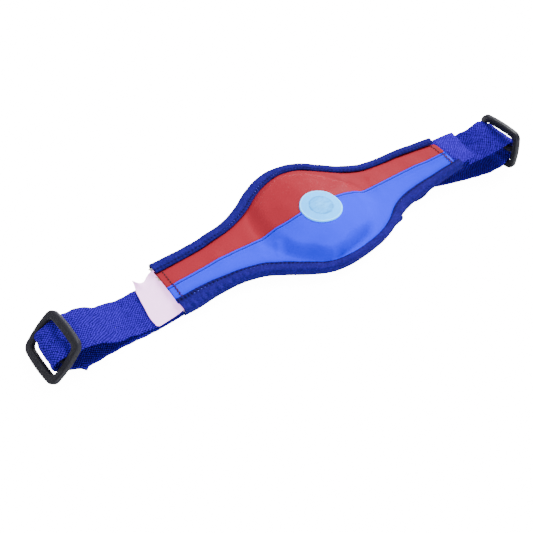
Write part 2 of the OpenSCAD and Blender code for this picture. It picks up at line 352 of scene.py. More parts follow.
# Folds of the vinyl round the dome: the points of each, its height, and its two widths
CREASES = [
    ([(-41, -6), (-43, -12), (-48, -20)], 0.7, 2.2, 2.2),
    ([(-36, -8), (-38, -15), (-42, -23)], -0.5, 2.2, 2.2),
    ([(-50, 0), (-51, -8), (-56, -14)], -0.35, 3, 3),
    ([(-16, -51.5), (-5, -50), (8, -48), (22, -44.5), (34, -39)], 0.9, 2.6, 2.2),
    ([(-19, -48), (-9, -45), (1, -43), (11, -41), (22, -37.5), (32, -33)], -1.9, 1.9, 3.2),
    ([(-12, -38), (-15, -44), (-17, -48)], 0.7, 2, 3),
    ([(-2, 48), (-13, 42.5), (-27, 37), (-40, 31)], 0.5, 3, 1.6),
    ([(44, 22), (54, 14), (64, 8)], -0.5, 4, 4),
    ([(40, -18), (52, -15), (64, -14)], 0.4, 4, 4),
]


def creases(x, y):
    """All the folds, and a small pucker beside the dome."""
    h = sum(fold(x, y, *crease) for crease in CREASES)
    pucker = bell(np.hypot(x + 42, (y + 26) * 1.2), 9)
    return h + 0.22 * pucker * np.sin((x - 0.5 * y) * 2.2)


def plain_front(x, y):
    """Height of the front of the pad before it is simulated."""
    far, near = inner_y(x, 1), inner_y(x, -1)
    v = clamp01((y - near) / np.maximum(far - near, 1)) * 2 - 1
    crown = 0.9 * (1 - v**4)
    rise = rim_rise(x, 1) * ease((v + 0.2) / 1.2) + rim_rise(x, -1) * ease((-v - 0.2) / 1.2)
    ripple = waves(x, (0.12, 31, 0.4), (0.08, 17, 2.1)) * (1 - v**2)
    return PAD_Z + lift(x) + FRONT_Z - 0.3 + crown + rise + dome(x, y) + creases(x, y) + ripple


SKIN_STEP = 2.0
CLOTH_CAP = 1.2
skin_x = np.arange(LEFT_END, RIGHT_END + 0.1, SKIN_STEP)
skin_v = np.linspace(-1, 1, 49)


def skin_points():
    """Grid over the whole front, from under one binding to under the other."""
    x = np.repeat(skin_x[:, None], len(skin_v), 1)
    far = inner_y(x, 1) + 3
    near = inner_y(x, -1) - 3
    y = near + (far - near) * (skin_v[None, :] + 1) / 2
    return x, y


def cloth_front():
    """How far the front moves when the closed pad swells as cloth under pressure.

    The pad is pinned where it is sewn or held flat: along both edges, the ends,
    the seam, under the badge and over its whole underside.
    """
    x, y = skin_points()
    rings = thin(x, y, plain_front(x, y), PAD_Z + lift(x) + 1.5)
    cushion = tube_grid("cushion", rings)
    remesh = cushion.modifiers.new("remesh", "REMESH")
    remesh.mode = "VOXEL"
    remesh.voxel_size = 4.5 * MM
    scene = bpy.context.scene
    made = cushion.evaluated_get(bpy.context.evaluated_depsgraph_get())
    cushion.data = bpy.data.meshes.new_from_object(made)
    cushion.modifiers.clear()
    place = np.array([v.co for v in cushion.data.vertices]) / MM
    px, py, pz = place.T
    far, near = inner_y(px, 1), inner_y(px, -1)
    held = np.minimum(far - py, py - near) < 2.5
    held |= (np.abs(px) > 122) | (pz < PAD_Z + lift(px) + 3.2)
    held |= np.hypot(px - BADGE_X, py - BADGE_Y) < BADGE_R - 1
    held |= np.abs(py - seam_y(px)) < 1.6
    pins = cushion.vertex_groups.new(name="pins")
    pins.add([int(k) for k in np.nonzero(held)[0]], 1.0, "REPLACE")
    cloth = cushion.modifiers.new("cloth", "CLOTH").settings
    cloth.quality = 6
    cloth.mass = 0.15
    cloth.tension_stiffness = 5
    cloth.compression_stiffness = 5
    cloth.bending_stiffness = 0.1
    cloth.use_pressure = True
    cloth.uniform_pressure_force = 5
    cloth.vertex_group_mass = "pins"
    cloth.effector_weights.gravity = 0
    for frame_number in range(1, 21):
        scene.frame_set(frame_number)
    swollen = cushion.evaluated_get(bpy.context.evaluated_depsgraph_get())
    moved = np.array([v.co for v in swollen.data.vertices]) / MM
    scene.frame_set(1)
    rise = np.clip(moved[:, 2] - pz, -CLOTH_CAP, CLOTH_CAP)
    old = cushion.data
    bpy.data.objects.remove(cushion)
    bpy.data.meshes.remove(old)
    upper = pz > PAD_Z + lift(px) + 3.2
    px, py, rise = px[upper], py[upper], rise[upper]
    out = np.zeros(x.shape)
    for i in range(len(x)):
        near_by = np.exp(-((px - x[i][:, None]) ** 2 + (py - y[i][:, None]) ** 2) / 9.0)
        out[i] = near_by @ rise / np.maximum(near_by.sum(1), 1e-9)
    return out


skin_move = np.zeros((len(skin_x), len(skin_v)))


def front_z(x, y):
    """Height of the front of the pad, with what the simulation added."""
    x, y = np.broadcast_arrays(np.asarray(x, float), np.asarray(y, float))
    far = inner_y(x, 1) + 3
    near = inner_y(x, -1) - 3
    i = np.clip((x - LEFT_END) / SKIN_STEP, 0, len(skin_x) - 1.001)
    j = np.clip((y - near) / (far - near), 0, 1) * (len(skin_v) - 1)
    j = np.minimum(j, len(skin_v) - 1.001)
    i0, j0 = i.astype(int), j.astype(int)
    s, t = i - i0, j - j0
    here = skin_move[i0, j0] * (1 - s) + skin_move[i0 + 1, j0] * s
    beyond = skin_move[i0, j0 + 1] * (1 - s) + skin_move[i0 + 1, j0 + 1] * s
    return plain_front(x, y) + here * (1 - t) + beyond * t


# ---- mesh helpers


def grid_faces(rows, cols, wrap_rows=False, wrap_cols=False, flip=False):
    faces = []
    for i in range(rows if wrap_rows else rows - 1):
        for j in range(cols if wrap_cols else cols - 1):
            a = i * cols + j
            b = i * cols + (j + 1) % cols
            c = (i + 1) % rows * cols + (j + 1) % cols
            d = (i + 1) % rows * cols + j
            faces.append((a, b, c, d) if flip else (a, d, c, b))
    return faces


def capped_faces(rows, cols, start=0):
    """Faces of a tube of rings, with a flat cap at each end."""
    faces = [tuple(start + q for q in face) for face in grid_faces(rows, cols, wrap_cols=True)]
    last = start + (rows - 1) * cols
    return [*faces, tuple(range(start, start + cols)), tuple(range(last, last + cols))[::-1]]


def add_mesh(name, points, faces, material=None, body=None, flow=None):
    """A new piece.  flow holds each point's place along and across its cloth."""
    points = np.asarray(points, float).reshape(-1, 3) * MM
    mesh = bpy.data.meshes.new(name)
    mesh.from_pydata(points.tolist(), [], [tuple(int(k) for k in f) for f in faces])
    mesh.polygons.foreach_set("use_smooth", [True] * len(mesh.polygons))
    if material:
        mesh.materials.append(material)
    if flow is not None:
        flow = np.asarray(flow, float).reshape(-1, 3)
        layer = mesh.attributes.new("flow", "FLOAT_VECTOR", "POINT")
        layer.data.foreach_set("vector", flow.astype(np.float32).ravel())
    mesh.update()
    obj = bpy.data.objects.new(name, mesh)
    bpy.context.scene.collection.objects.link(obj)
    if body:
        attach(obj, body)
    return obj


def tube_grid(name, rings, material=None, body=None, flow=None):
    """A closed solid from rings of points, one ring after another, with its two ends filled."""
    rings = np.asarray(rings, float)
    rows, cols = rings.shape[:2]
    faces = grid_faces(rows, cols, wrap_cols=True)
    half = cols // 2
    for end, start in ((0, 0), (1, (rows - 1) * cols)):
        for k in range(half - 1):
            a, b = start + k, start + k + 1
            c, d = start + cols - 2 - k, start + cols - 1 - k
            faces.append((a, b, c, d) if end == 0 else (d, c, b, a))
    return add_mesh(name, rings, faces, material, body, flow)


def sheet_solid(top, bottom):
    """Rings for a thin solid between two grids of points: each ring goes over and back."""
    return np.concatenate([top, bottom[:, ::-1]], axis=1)


def thin(x, y, top, bottom):
    """Rings for a thin solid between two heights over a grid."""
    return sheet_solid(joined(x, y, top), joined(x, y, bottom))


def both_faces(flow):
    """The same flow for the two faces of a thin solid."""
    return sheet_solid(flow, flow)


skin_move = cloth_front()


# ---- materials


class Nodes:
    """Short ways to wire a material."""

    def __init__(self, name):
        self.mat = bpy.data.materials.new(name)
        self.mat.use_nodes = True
        self.tree = self.mat.node_tree
        self.tree.nodes.clear()
        self.out = self.node("OutputMaterial")
        self.bsdf = self.node("BsdfPrincipled")
        self.put(self.bsdf.outputs[0], self.out.inputs[0])

    def node(self, kind, inputs=None, **settings):
        """A new node with its settings, and with values or links in its inputs."""
        node = self.tree.nodes.new("ShaderNode" + kind)
        for name, value in settings.items():
            setattr(node, name, value)
        for key, value in (inputs or {}).items():
            self.put(value, node.inputs[key])
        return node

    def put(self, value, socket):
        if isinstance(value, bpy.types.NodeSocket):
            self.tree.links.new(value, socket)
        elif value is not None:
            socket.default_value = value

    def math(self, kind, a, b=None, clamp=False):
        return self.node("Math", {0: a, 1: b}, operation=kind, use_clamp=clamp).outputs[0]

    def times(self, a, b, clamp=False):
        return self.math("MULTIPLY", a, b, clamp)

    def plus(self, a, b, clamp=False):
        return self.math("ADD", a, b, clamp)

    def minus(self, a, b, clamp=False):
        return self.math("SUBTRACT", a, b, clamp)

    def waving(self, value, length):
        """A sine wave of the given length along value."""
        return self.math("SINE", self.times(value, 2 * math.pi / length))

    def flow(self):
        """The point's place along and across its cloth, and how much painted shade it gets in grooves and
        under edges.
        """
        kept = self.node("Attribute", attribute_name="flow").outputs["Vector"]
        return self.node("SeparateXYZ", {0: kept}).outputs

    def place(self, scale=(1, 1, 1)):
        """The point in millimetres, stretched by scale."""
        point = self.node("TexCoord").outputs["Object"]
        return self.node("Mapping", {0: point, "Scale": [s / MM for s in scale]}).outputs[0]

    def noise(self, size, detail=2.0, rough=0.5, scale=(1, 1, 1)):
        """Noise with features of about size millimetres."""
        inputs = {"Vector": self.place(scale), "Scale": 1 / size, "Detail": detail, "Roughness": rough}
        return self.node("TexNoise", inputs).outputs[0]

    def cells(self, size):
        """Distance from the middle of the nearest of many cells."""
        return self.node("TexVoronoi", {"Vector": self.place(), "Scale": 1 / size}).outputs["Distance"]

    def ramp(self, value, stops):
        node = self.node("ValToRGB", {0: value})
        for element, (at, colour) in zip(node.color_ramp.elements, stops):
            element.position = at
            element.color = (*colour, 1)
        return node.outputs[0]

    def mix(self, amount, a, b):
        a, b = ((*colour, 1) if isinstance(colour, tuple) else colour for colour in (a, b))
        return self.node("Mix", {0: amount, 6: a, 7: b}, data_type="RGBA").outputs[2]

    def between(self, value, low, high):
        """value, from 0 to 1, as a number from low to high."""
        return self.node("MapRange", {0: value, 3: low, 4: high}).outputs[0]

    def relief(self, *layers):
        """Relief in layers over one another, each (height, depth in millimetres, strength)."""
        normal = None
        for height, depth, strength in layers:
            inputs = {"Strength": strength, "Distance": depth * MM, "Height": height, "Normal": normal}
            normal = self.node("Bump", inputs).outputs[0]
        return normal

    def finish(self, colour, rough, normal=None, specular=0.2, **sockets):
        inputs = {"Base Color": (*colour, 1) if isinstance(colour, tuple) else colour}
        inputs |= {"Roughness": rough, "Normal": normal, "Specular IOR Level": specular}
        inputs |= {name.replace("_", " "): value for name, value in sockets.items()}
        for name, value in inputs.items():
            self.put(value, self.bsdf.inputs[name])
        return self.mat


def scaled(colour, by):
    return tuple(c * by for c in colour)


def weave(n, u, v, pitch_u, pitch_v, shift):
    """Rounded picks of a weave, in rows pitch_u apart, each row shifted along the next."""
    row = n.math("DIVIDE", u, pitch_u)
    index = n.math("FLOOR", row)
    across = n.plus(n.math("DIVIDE", v, pitch_v), n.times(index, shift))
    fu = n.minus(n.times(n.math("FRACT", row), 2.0), 1.0)
    fv = n.minus(n.times(n.math("FRACT", across), 2.0), 1.0)
    hu = n.minus(1.0, n.times(fu, fu))
    hv = n.minus(1.0, n.times(fv, fv))
    return n.times(hu, hv)


def vinyl(name, colour, gleam):
    """Coated fabric with a fine pebbled grain, and painted shade from the flow's third value."""
    n = Nodes(name)
    grain = n.cells(0.7)
    pores = n.noise(0.3, 3, 0.6)
    cloud = n.noise(26, 3, 0.55)
    base = n.mix(n.between(cloud, 0.0, 1.0), scaled(colour, 0.93), scaled(colour, 1.07))
    base = n.mix(n.between(grain, 0.1, 0.0), base, scaled(colour, 0.7))
    # Painted shade: darker in the stitched groove, under the binding's edge and in creases of the dome, as
    # the flow's third value says
    base = n.mix(n.flow()[2], base, scaled(colour, 0.12))
    rough = n.between(cloud, 0.52, 0.6)
    relief = n.relief((n.noise(5, 3, 0.5), 0.1, 0.5), (grain, 0.05, 0.5), (pores, 0.02, 0.4))
    return n.finish(base, rough, relief, gleam)


def webbing(name, light, dark):
    """Woven webbing: small picks in slanting rows that meet in a V."""
    n = Nodes(name)
    u, v = n.flow()[:2]
    half = n.math("FRACT", n.math("DIVIDE", v, STRAP_HALF))
    turn = n.minus(n.times(n.math("GREATER_THAN", half, 0.5), 2.0), 1.0)
    along = n.times(u, 0.75)
    across = n.times(n.times(v, turn), 0.66)
    picks = weave(n, n.plus(along, across), n.minus(across, along), PICK, PICK * 1.15, 0.15)
    cloud = n.noise(14, 3, 0.5)
    yarn = n.noise(0.4, 2, 0.6)
    patch = n.noise(1.9, 3, 0.7)
    tone = n.minus(n.times(picks, 2.1), n.times(yarn, 0.5), clamp=True)
    tone = n.times(tone, n.between(patch, -0.4, 2.2), clamp=True)
    base = n.mix(tone, dark, light)
    base = n.mix(n.between(cloud, 0.0, 0.35), base, scaled(light, 0.5))
    relief = n.relief((picks, 0.4, 1.0), (yarn, 0.05, 0.5))
    return n.finish(base, 0.8, relief, 0.02)


def brushed(name, light, dark):
    """Brushed binding tape: a short speckled nap over fine lengthwise lines, with painted shade along its
    stitch groove.
    """
    n = Nodes(name)
    u, v, groove = n.flow()
    lines = n.waving(v, 1.1)
    ribs = n.waving(u, 0.9)
    nap = n.noise(0.7, 2, 0.7)
    speck = n.cells(1.3)
    cloud = n.noise(7, 4, 0.6)
    tone = n.times(n.between(nap, 0.0, 1.5), n.between(cloud, 0.35, 1.3))
    tone = n.times(tone, n.between(speck, 0.4, 1.7))
    tone = n.plus(tone, n.times(n.times(ribs, lines), 0.05), clamp=True)
    base = n.mix(tone, dark, light)
    # Painted shade along the stitch groove, from the flow's third value
    base = n.mix(groove, base, scaled(dark, 0.1))
    relief = n.relief((ribs, 0.025, 0.5), (lines, 0.03, 0.5), (nap, 0.16, 0.8), (cloud, 0.3, 0.5))
    return n.finish(base, 0.9, relief, 0.05)


def thread(name, light, dark):
    """Twisted sewing thread."""
    n = Nodes(name)
    u, v = n.flow()[:2]
    twist = n.waving(n.plus(u, n.times(v, 0.6)), 0.5)
    tone = n.between(twist, 0.2, 0.9)
    relief = n.relief((twist, 0.06, 0.8))
    return n.finish(n.mix(tone, dark, light), n.between(n.noise(2), 0.5, 0.7), relief, 0.25)


def plastic(name, colour):
    """Moulded black plastic with a fine spark-eroded grain and scuffed edges."""
    n = Nodes(name)
    grain = n.noise(0.35, 2, 0.7)
    cloud = n.noise(8, 3, 0.5)
    base = n.mix(n.between(cloud, 0.0, 1.0), scaled(colour, 0.85), scaled(colour, 1.2))
    point = n.node("NewGeometry")
    worn = n.ramp(point.outputs["Pointiness"], [(0.5, (0, 0, 0)), (0.58, (1, 1, 1))])
    base = n.mix(n.times(worn, 0.3), base, scaled(colour, 2))
    relief = n.relief((grain, 0.05, 0.55))
    return n.finish(base, n.between(grain, 0.42, 0.55), relief, 0.13)


def satin(name, colour):
    """Satin ribbon with close weft lines.  Its emission is painted light, which makes it brighter than the
    lamps alone do.
    """
    n = Nodes(name)
    lines = n.waving(n.flow()[1], 0.45)
    cloud = n.noise(6, 3, 0.5)
    base = n.mix(n.between(cloud, 0.0, 0.5), colour, scaled(colour, 0.82))
    relief = n.relief((lines, 0.02, 0.5), (n.noise(3, 3, 0.5), 0.15, 0.5))
    # Painted light: a pink glow of its own
    glow = {"Emission_Color": (1.0, 0.2, 1.0, 1.0), "Emission_Strength": 1.1}
    return n.finish(base, n.between(cloud, 0.35, 0.5), relief, 0.3, **glow)


def soft_plastic(name, colour, pale):
    """Soft plastic, paler on its rim and scuffed in its middle, with painted light from a little emission.
    """
    n = Nodes(name)
    dull, rim = n.flow()[:2]
    cloud = n.noise(5, 4, 0.65)
    streak = n.noise(2.2, 4, 0.65, (0.4, 1, 1))
    base = n.mix(n.between(cloud, 0.0, 0.35), colour, scaled(colour, 0.85))
    worn = n.times(n.plus(dull, 0.12), n.between(streak, -1.0, 2.6), clamp=True)
    base = n.mix(worn, base, scaled(colour, 0.45))
    base = n.mix(rim, base, pale)
    relief = n.relief((n.noise(1.2, 3, 0.6), 0.08, 0.5), (streak, 0.25, 0.5))
    # Painted light: a blue glow of its own
    glow = {"Emission_Color": (0.0, 0.25, 1.0, 1.0), "Emission_Strength": 0.8}
    return n.finish(base, n.between(cloud, 0.4, 0.6), relief, 0.03, **glow)


def plain_cloth(name, colour, size, depth):
    """Felt, foam or knit that hardly shows."""
    n = Nodes(name)
    nap = n.noise(size, 4, 0.65)
    base = n.mix(nap, scaled(colour, 0.7), scaled(colour, 1.15))
    return n.finish(base, n.between(nap, 0.8, 0.95), n.relief((nap, depth, 0.8)), 0.1)


def ferrite(name, colour):
    n = Nodes(name)
    lines = n.noise(1.5, 3, 0.6, (0.2, 1, 1))
    base = n.mix(lines, scaled(colour, 0.7), scaled(colour, 1.2))
    return n.finish(base, n.between(lines, 0.35, 0.5), n.relief((lines, 0.03, 0.5)), 0.5, Metallic=0.7)


RED = (0.21, 0.0105, 0.0187)
LIGHT_BLUE = (0.001, 0.0, 0.78)
NAVY = (0.0095, 0.0034, 0.122)
ROYAL = (0.022, 0.0002, 0.29)

red_vinyl = vinyl("red_vinyl", RED, 0.05)
blue_vinyl = vinyl("blue_vinyl", LIGHT_BLUE, 0.0)
binding_tape = brushed("binding_tape", scaled(NAVY, 1.15), scaled(NAVY, 0.25))
strap_webbing = webbing("strap_webbing", scaled(ROYAL, 1.38), scaled(ROYAL, 0.04))
tab_webbing = webbing("tab_webbing", scaled(ROYAL, 1.65), scaled(ROYAL, 0.3))
navy_thread = thread("navy_thread", (0.008, 0.004, 0.13), (0.003, 0.001, 0.05))
edge_thread = thread("edge_thread", (0.06, 0.07, 0.75), (0.02, 0.02, 0.35))
red_thread = thread("red_thread", (0.06, 0.0015, 0.008), (0.02, 0.0008, 0.003))
slide_plastic = plastic("slide_plastic", (0.0066, 0.0068, 0.0112))
label_satin = satin("label_satin", (0.92, 0.64, 0.95))
badge_plastic = soft_plastic("badge_plastic", (0.03, 0.44, 1.0), (0.2, 0.7, 1.0))
knit_backing = plain_cloth("knit_backing", (0.012, 0.008, 0.16), 0.8, 0.15)
foam_core = plain_cloth("foam_core", (0.6, 0.57, 0.5), 0.7, 0.3)
grey_felt = plain_cloth("grey_felt", (0.5, 0.5, 0.48), 0.6, 0.2)
hook_tape = plain_cloth("hook_tape", (0.01, 0.005, 0.12), 0.5, 0.35)
loop_tape = plain_cloth("loop_tape", (0.02, 0.01, 0.2), 1.2, 0.45)
magnet_metal = ferrite("magnet_metal", (0.25, 0.25, 0.27))

# These nodes stay as they are in the CAD, with a finer material
carried_over = {"magnet_carrier": grey_felt, "centre_magnet": magnet_metal, "ring_magnets": magnet_metal}
for node, material in carried_over.items():
    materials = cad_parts[node].data.materials
    materials.clear()
    materials.append(material)


# ---- front panels


# How far a panel reaches in under its neighbour
TUCK = 2.5


def panel(name, slot, node, material, edges, v, raised, shade):
    """A front panel between two edges, as a thin solid over shares v of its width."""
    x = np.arange(LEFT_END, RIGHT_END + 0.1, PANEL_STEP)
    xx = np.repeat(x[:, None], len(v), 1)
    low, high = edges(xx)
    yy = low + (high - low) * v
    end = 1.0 + 1.6 * clamp01((3.5 - yy) / 24)
    xx[-1] = (RIGHT_END - end)[-1]
    xx[-2] = xx[-1] - 0.5
    top = front_z(xx, yy) + raised(xx, yy)
    flow = joined(xx, yy, shade(xx, yy))
    rings = thin(xx, yy, top, top - PANEL_T)
    piece = tube_grid(name, rings, material, "belt", both_faces(flow))
    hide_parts(node)


def under_binding(x, y):
    """How much a panel sinks where the binding presses on it."""
    far = inner_y(x, 1) - y
    near = y - inner_y(x, -1)
    return -0.7 * fade(far, 1.6) - 0.7 * fade(near, 1.6)


def blue_relief(x, y):
    """How much the blue panel stands up at its folded edge and dips at the stitches."""
    from_seam = seam_y(x) - y
    hem = 0.75 * ease((7 - from_seam) / 4) - 0.55 * bell(from_seam - SEAM_IN, 0.6)
    roll = -0.8 * fade(from_seam, 0.35)
    return under_binding(x, y) + hem + roll


def blue_shade(x, y):
    """Painted shade: a line along the stitched groove, a band under the binding's edge, and a hollow and a
    valley on the dome's near flank.
    """
    line = 0.85 * bell(seam_y(x) - y - SEAM_IN, 0.42)
    line = line + 0.5 * fade(y - inner_y(x, -1), 0.7)
    # Painted shade where the dome's near flank turns away from the light
    hollow = bell(x + 22, 10) * bell(y + 31, 7)
    painted_valley_shade = fold(x, y, [(-19, -47), (-9, -44), (1, -42), (11, -40.4), (22, -37), (30, -34)], 1.0, 2.2, 2.8)
    return line + 0.16 * hollow + 0.28 * painted_valley_shade


def red_shade(x, y):
    """Painted shade along the folded edge of the blue panel, and under the binding's edge."""
    line = 0.6 * fade(y - seam_y(x), 0.4)
    return line + 0.6 * fade(inner_y(x, 1) - y, 0.8)


across_red = np.linspace(0, 1, 56)
across_blue = 1 - np.concatenate([np.linspace(0, 0.12, 22), np.linspace(0.12, 1, 42)[1:]])[::-1]


def red_edges(x):
    return seam_y(x) - TUCK, inner_y(x, 1) + TUCK


def blue_edges(x):
    return inner_y(x, -1) - TUCK, seam_y(x)


red_looks = (red_vinyl, red_edges, across_red, under_binding, red_shade)
blue_looks = (blue_vinyl, blue_edges, across_blue, blue_relief, blue_shade)
panel("front_red", "red_vinyl", "front_panel_red", *red_looks)
panel("front_blue", "blue_vinyl", "front_panel_blue", *blue_looks)


# ---- core and back


def pad_grid(inset, trim=0.0):
    """Shares across, x and y of a grid over the pad, inset from its long edges, trimmed at its ends."""
    x = np.arange(LEFT_END, RIGHT_END + 0.1, PAD_STEP)
    x[0] += trim
    x[-1] -= trim
    v = np.linspace(0, 1, 41)
    xx = np.repeat(x[:, None], len(v), 1)
    low, high = edge_y(xx, -1) + inset, edge_y(xx, 1) - inset
    return v, xx, low + (high - low) * v


def core():
    """Foam and filling in one body, frayed where it shows at the label's end."""
    v, x, y = pad_grid(1.4, 0.4)
    side = np.minimum(v, 1 - v) * (y[:, -1:] - y[:, :1])
    top = front_z(x, y) - PANEL_T - 0.9 - 1.8 * np.exp(-side / 2.5)
    bottom = PAD_Z + lift(x) + 1.7 + 1.2 * np.exp(-side / 1.5)
    frayed = np.abs(waves(y[0], (1.0, 5.1, 0.3), (0.7, 2.9, 1.2)))
    x[0] -= (0.7 + frayed) * clamp01((y[0] - 11) / 3)
    rings = thin(x, y, np.maximum(top, bottom + 0.5), bottom)
    piece = tube_grid("pad_core", rings, foam_core, "belt")
    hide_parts("foam_core", "dome_filling")


def back():
    """Knit back panel, which sags a little between its edges."""
    v, x, y = pad_grid(2.0)
    sag = 0.35 * np.sin(np.pi * v) + waves(x, (0.08, 23, 1)) + waves(y, (0.06, 11, 0))
    bottom = PAD_Z + lift(x) + 0.75 - sag * (1 - clamp01(np.abs(v * 2 - 1) * 1.3 - 0.3))
    piece = tube_grid("pad_back", thin(x, y, bottom + PANEL_T, bottom), knit_backing, "belt")
    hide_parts("back_panel")


core()
back()


# ---- binding


# Section of the folded tape: share of its width from the outer edge, height over the pad's underside
TAPE_LINE = smooth_points(
    [(1.0, 5.5), (0.985, 5.9), (0.9, 6.0), (0.8, 5.8), (0.7, 6.0), (0.55, 6.15), (0.36, 6.2),
     (0.2, 6.1), (0.08, 5.75), (0.015, 4.9), (0.0, 3.6), (0.01, 2.2), (0.07, 0.8), (0.18, 0.2),
     (0.34, 0.0), (0.55, 0.05), (0.75, 0.2), (0.85, 0.05), (1.0, 0.1)],
    3,
)
TAPE_T = 0.75
STITCH = 3.0


def offset(lines, t):
    """The same open lines, moved to their left by t."""
    d = np.gradient(lines, axis=-2)
    d /= np.linalg.norm(d, axis=-1, keepdims=True)
    return lines + t * joined(-d[..., 1], d[..., 0])


def edge_stations(side, step):
    """x of points an even step apart along a long edge of the pad, and the distance to each."""
    x = np.linspace(LEFT_END, RIGHT_END, 2001)
    line, at = even_line(joined(x, edge_y(x, side)), step)
    return line[:, 0], at


def tape_wave(at, side):
    """Slow unevenness of the binding's height along its length."""
    return waves(at, (0.2, 41, side), (0.12, 17, 2.0), (0.05, 9.5, 0.7))


def binding(side, name, node):
    """Folded tape round a long edge, drawn in at each stitch and ruffled towards the label's end."""
    x, at = edge_stations(side, STRIP_STEP)
    n = edge_normal(x, side)
    share, tall = TAPE_LINE.T
    high = clamp01(tall / 6)
    outer = bell(share, 0.3)
    groove = bell(share - 0.8, 0.09) * np.sign(tall - 3)
    # Band of painted shade along the stitch groove
    band = bell(share - 0.84, 0.14)
    fold_band = bell(share - 0.2, 0.25) * high
    pucker = np.cos(2 * np.pi * at / STITCH)[:, None]
    rise = rim_rise(x, side)[:, None] * (0.6 + 0.4 * (1 - share)) + tape_wave(at, side)[:, None]
    ruffle = waves(at, (0.35, 7.3, 0.5), (0.25, 4.4, 1.7)) * (ease((-62 - x) / 25) if side < 0 else 0)
    # A small corner of the near tape sticks out
    tag = np.zeros_like(x) if side > 0 else -2.2 * clamp01((x - 48) / 8) * (x < 56.2)
    across = tape_at(share, tape_w(x, side)[:, None]) + (0.05 * pucker + tag[:, None]) * outer
    height = tall - (0.14 + 0.2 * pucker) * groove + rise * high + ruffle[:, None] * fold_band
    line = joined(across, height)
    ring = np.concatenate([line, offset(line, -TAPE_T)[:, ::-1]], 1)
    spot = joined(x, edge_y(x, side), PAD_Z + lift(x))
    points = spot[:, None] + np.concatenate([-n[:, None] * ring[..., :1], ring[..., 1:]], -1)
    # Painted shade in that band, darker where the tape is drawn in deeper
    painted_pit_shade = band * (0.62 + 0.3 * pucker)
    flow = joined(at[:, None], np.linspace(0, 26, len(share)), painted_pit_shade)
    piece = tube_grid(name, points, binding_tape, "belt", both_faces(flow))
    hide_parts(node)


binding(1, "binding_tape_far", "binding_far")
binding(-1, "binding_tape_near", "binding_near")


# ---- stitches


AROUND, ALONG = 8, 7


def stitch_rows(name, rows, material, node):
    """Single stitches along rows, each (points, normals, pitch, length, width, height, seed)."""
    t = np.linspace(-1, 1, ALONG)
    fat = np.sqrt(np.clip(1 - np.abs(t) ** 3, 0.02, 1))[:, None]
    turn = 2 * np.pi * np.arange(AROUND) / AROUND
    points, faces, flow = [], [], []
    for path, normals, pitch, length, width, height, seed in rows:
        s = line_length(path)
        count = max(int(s[-1] / pitch), 1)
        dip = (height * (0.35 - 0.75 * np.abs(t) ** 3))[:, None]
        wide = np.cos(turn) * width / 2 * fat
        high = np.sin(turn) * height / 2 * fat + dip
        rng = np.random.default_rng(seed)
        for k in range(count):
            wobble = rng.normal(0, 1, 3)
            middle = (k + 0.5) * s[-1] / count
            at = np.clip(middle + t / 2 * length * (1 + 0.04 * wobble[0]), 0, s[-1])
            c, up = at_distance(at, s, path), at_distance(at, s, normals)
            d = c[-1] - c[0]
            side = np.cross(up, d / np.linalg.norm(d))
            c = c + side * (t * 0.06 * wobble[1])[:, None]
            faces += capped_faces(ALONG, AROUND, len(points) * ALONG * AROUND)
            points.append(c[:, None] + side[:, None] * wide[..., None] + up[:, None] * high[..., None])
            flow.append(joined(at[:, None], np.arange(AROUND) * width / AROUND * 3, 0))
    piece = add_mesh(name, points, faces, material, "belt", flow)
    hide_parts(node)


def front_row(x, y, raised):
    """Path and normals of a row that lies on the front of the pad."""
    z = front_z(x, y) + raised(x, y)
    gx = front_z(x + 0.5, y) - front_z(x - 0.5, y)
    gy = front_z(x, y + 0.5) - front_z(x, y - 0.5)
    n = joined(-gx, -gy, 1)
    n /= np.linalg.norm(n, axis=1, keepdims=True)
    return joined(x, y, z), n


def seam_rows():
    """A row along the seam up to the badge, and one from the badge on."""
    rows = []
    for k, (x0, x1) in enumerate(((LEFT_END + 4.6, 60.0), (-60.0, RIGHT_END - 4.6))):
        x = np.arange(x0, x1, 0.5)
        y = seam_y(x) - SEAM_IN
        outside = np.hypot(x - BADGE_X, y - BADGE_Y) > BADGE_R - 0.5
        keep = outside & ((x < BADGE_X) if k == 0 else (x > BADGE_X))
        path, n = front_row(x[keep], y[keep], blue_relief)
        rows.append((path, n, 2.7, 2.6, 0.5, 0.36, 3 + k))
    return rows


stitch_rows("seam_stitches", seam_rows(), navy_thread, "seam_thread")


def binding_row(side, seed):
    """Stitches in the groove near the inner edge of a binding."""
    x, at = edge_stations(side, 0.75)
    n = edge_normal(x, side)
    w = tape_at(0.8, tape_w(x, side))
    z = PAD_Z + lift(x) + 5.85 + rim_rise(x, side) * 0.68 + tape_wave(at, side) * 0.95
    path = joined(x - n[:, 0] * w, edge_y(x, side) - n[:, 1] * w, z)
    up = np.zeros_like(path)
    up[:, 2] = 1
    return (path, up, STITCH, 1.9, 1.05, 0.7, seed)


far_rows, near_rows = [binding_row(1, 11)], [binding_row(-1, 12)]
stitch_rows("binding_stitches_far", far_rows, edge_thread, "binding_thread_far")
stitch_rows("binding_stitches_near", near_rows, edge_thread, "binding_thread_near")


def end_row(x0, lean, y0, y1, seed):
    """A row across an end of the pad, over both panels."""
    y = np.linspace(y0, y1, 60)
    x = x0 + lean * (y - y0) / (y1 - y0)

    def raised(px, py):
        return np.where(py < seam_y(px), blue_relief(px, py), under_binding(px, py)) + 0.1

    path, n = front_row(x, y, raised)
    return (path, n, 2.6, 2.5, 1.0, 0.55, seed)


left_rows = [end_row(-125.2, 0.3, -12, 17.5, 21), end_row(-124.3, -0.6, -11.5, 3, 22)]
right_rows = [end_row(124.6, 1.0, -23, 9, 23), end_row(125.6, 0.2, -22, -8, 24)]
stitch_rows("end_stitches_left", left_rows, red_thread, "end_thread_left")
stitch_rows("end_stitches_right", right_rows, red_thread, "end_thread_right")


# ---- badge


